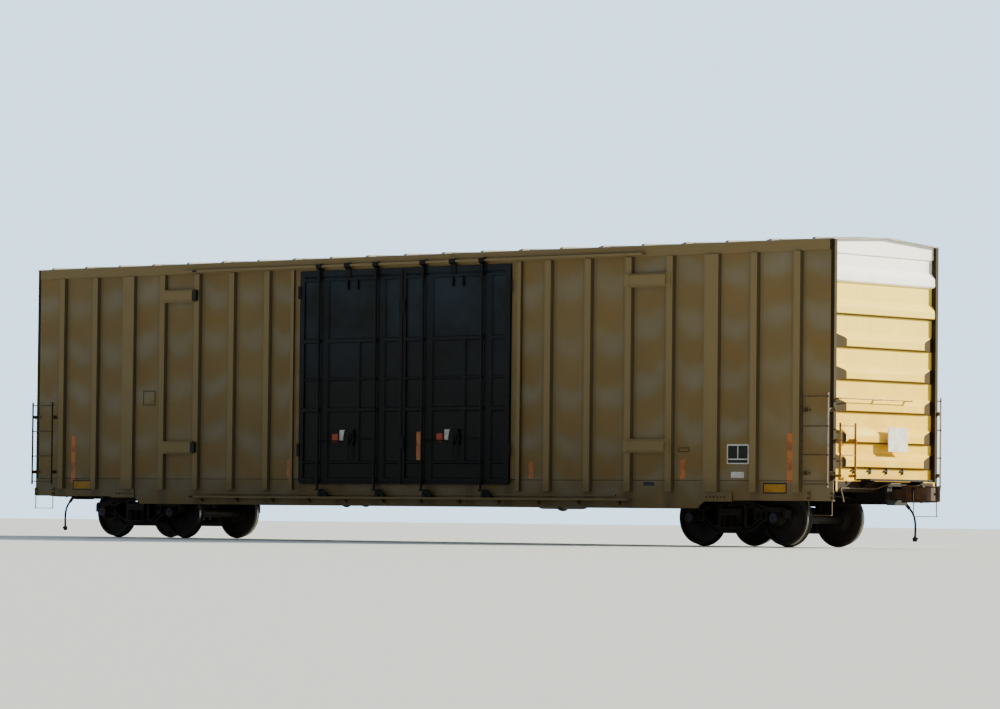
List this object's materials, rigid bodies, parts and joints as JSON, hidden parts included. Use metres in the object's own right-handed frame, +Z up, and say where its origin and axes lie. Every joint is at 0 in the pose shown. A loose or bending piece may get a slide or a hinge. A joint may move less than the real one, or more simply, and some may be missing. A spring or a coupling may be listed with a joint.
{
  "type": "railroad boxcar",
  "caption": "Long exterior-post railroad boxcar with plug doors on each side, ribbed ends, ladders, couplers and swivelling trucks.",
  "frame": {"origin": "on the floor under the middle of the car, at the height of the wheel flanges' tips", "axes": "+X along the car towards the end without the hand brake, +Y towards the far side, +Z up"},
  "size_m": [20.7994, 3.24, 5.1863],
  "materials": {
    "side_paint": "faded golden tan paint",
    "end_paint": "golden yellow paint",
    "placard_white": "white paint",
    "door_paint": "black paint",
    "gear_black": "black paint",
    "roof_steel": "galvanised, dusty",
    "underframe_black": "dusty black paint",
    "cast_steel": "rusty, oily",
    "wheel_steel": "rust brown, bright tread",
    "hose_rubber": "matte"
  },
  "bodies": {
    "carbody": {"center_sill": "underframe_black", "draft_sills": "underframe_black", "uncoupling_levers": "end_paint", "body_bolsters": "underframe_black", "crossbearers": "underframe_black", "floor": "underframe_black", "side_sill_near": "side_paint", "door_frame_near": "door_paint", "door_gear_near": "gear_black", "side_sill_far": "side_paint", "door_frame_far": "door_paint", "door_gear_far": "gear_black", "side_walls_near": "side_paint", "side_walls_far": "side_paint", "plug_door_near_a": "door_paint", "plug_door_near_b": "door_paint", "plug_door_far_a": "door_paint", "plug_door_far_b": "door_paint", "door_tracks": "gear_black", "door_stops": "gear_black", "top_chords": "side_paint", "roof": "roof_steel", "end_wall_a": "end_paint", "end_wall_b": "end_paint", "side_ladders": "side_paint", "end_ladders": "end_paint", "sill_steps": "side_paint", "crossover_platforms": "end_paint", "placard_boards": "placard_white", "hand_brake_housing": "underframe_black", "air_brake_gear": "underframe_black", "train_line": "underframe_black", "air_hose_a": "hose_rubber", "air_hose_b": "hose_rubber", "glad_hand_a": "cast_steel", "glad_hand_b": "cast_steel"},
    "hand_brake_wheel": {"hand_brake_wheel": "underframe_black"},
    "truck_a": {"truck_bolster_a": "cast_steel", "side_frames_a": "cast_steel", "springs_a": "cast_steel", "bearings_a": "cast_steel", "brake_beams_a": "cast_steel"},
    "coupler_a": {"coupler_a": "cast_steel"},
    "knuckle_a": {"knuckle_a": "cast_steel"},
    "truck_b": {"truck_bolster_b": "cast_steel", "side_frames_b": "cast_steel", "springs_b": "cast_steel", "bearings_b": "cast_steel", "brake_beams_b": "cast_steel"},
    "coupler_b": {"coupler_b": "cast_steel"},
    "knuckle_b": {"knuckle_b": "cast_steel"},
    "wheelset_1": {"wheels_1": "wheel_steel", "axle_1": "wheel_steel"},
    "wheelset_2": {"wheels_2": "wheel_steel", "axle_2": "wheel_steel"},
    "wheelset_3": {"wheels_3": "wheel_steel", "axle_3": "wheel_steel"},
    "wheelset_4": {"wheels_4": "wheel_steel", "axle_4": "wheel_steel"}
  },
  "joints": [
    {"name": "truck_a_swivel", "type": "hinge", "parent": "carbody", "child": "truck_a", "pos_m": [7.0485, 0, 0.6734], "axis": [0, 0, 1], "range_deg": [-8, 8]},
    {"name": "coupler_a_swing", "type": "hinge", "parent": "carbody", "child": "coupler_a", "pos_m": [8.95, 0, 0.9014], "axis": [0, 0, 1], "range_deg": [-7, 7]},
    {"name": "knuckle_a_open", "type": "hinge", "parent": "coupler_a", "child": "knuckle_a", "pos_m": [10.215, -0.12, 0.9014], "axis": [0, 0, -1], "range_deg": [0, 45]},
    {"name": "truck_b_swivel", "type": "hinge", "parent": "carbody", "child": "truck_b", "pos_m": [-7.0485, 0, 0.6734], "axis": [0, 0, 1], "range_deg": [-8, 8]},
    {"name": "coupler_b_swing", "type": "hinge", "parent": "carbody", "child": "coupler_b", "pos_m": [-8.95, 0, 0.9014], "axis": [0, 0, 1], "range_deg": [-7, 7]},
    {"name": "knuckle_b_open", "type": "hinge", "parent": "coupler_b", "child": "knuckle_b", "pos_m": [-10.215, 0.12, 0.9014], "axis": [0, 0, -1], "range_deg": [0, 45]},
    {"name": "wheelset_1_roll", "type": "hinge", "parent": "truck_a", "child": "wheelset_1", "pos_m": [7.9375, 0, 0.4826], "axis": [0, 1, 0], "continuous": true},
    {"name": "wheelset_2_roll", "type": "hinge", "parent": "truck_a", "child": "wheelset_2", "pos_m": [6.1595, 0, 0.4826], "axis": [0, 1, 0], "continuous": true},
    {"name": "wheelset_3_roll", "type": "hinge", "parent": "truck_b", "child": "wheelset_3", "pos_m": [-6.1595, 0, 0.4826], "axis": [0, 1, 0], "continuous": true},
    {"name": "wheelset_4_roll", "type": "hinge", "parent": "truck_b", "child": "wheelset_4", "pos_m": [-7.9375, 0, 0.4826], "axis": [0, 1, 0], "continuous": true},
    {"name": "hand_brake_turn", "type": "hinge", "parent": "carbody", "child": "hand_brake_wheel", "pos_m": [-9.64, 0.62, 1.7254], "axis": [1, 0, 0], "continuous": true}
  ]
}
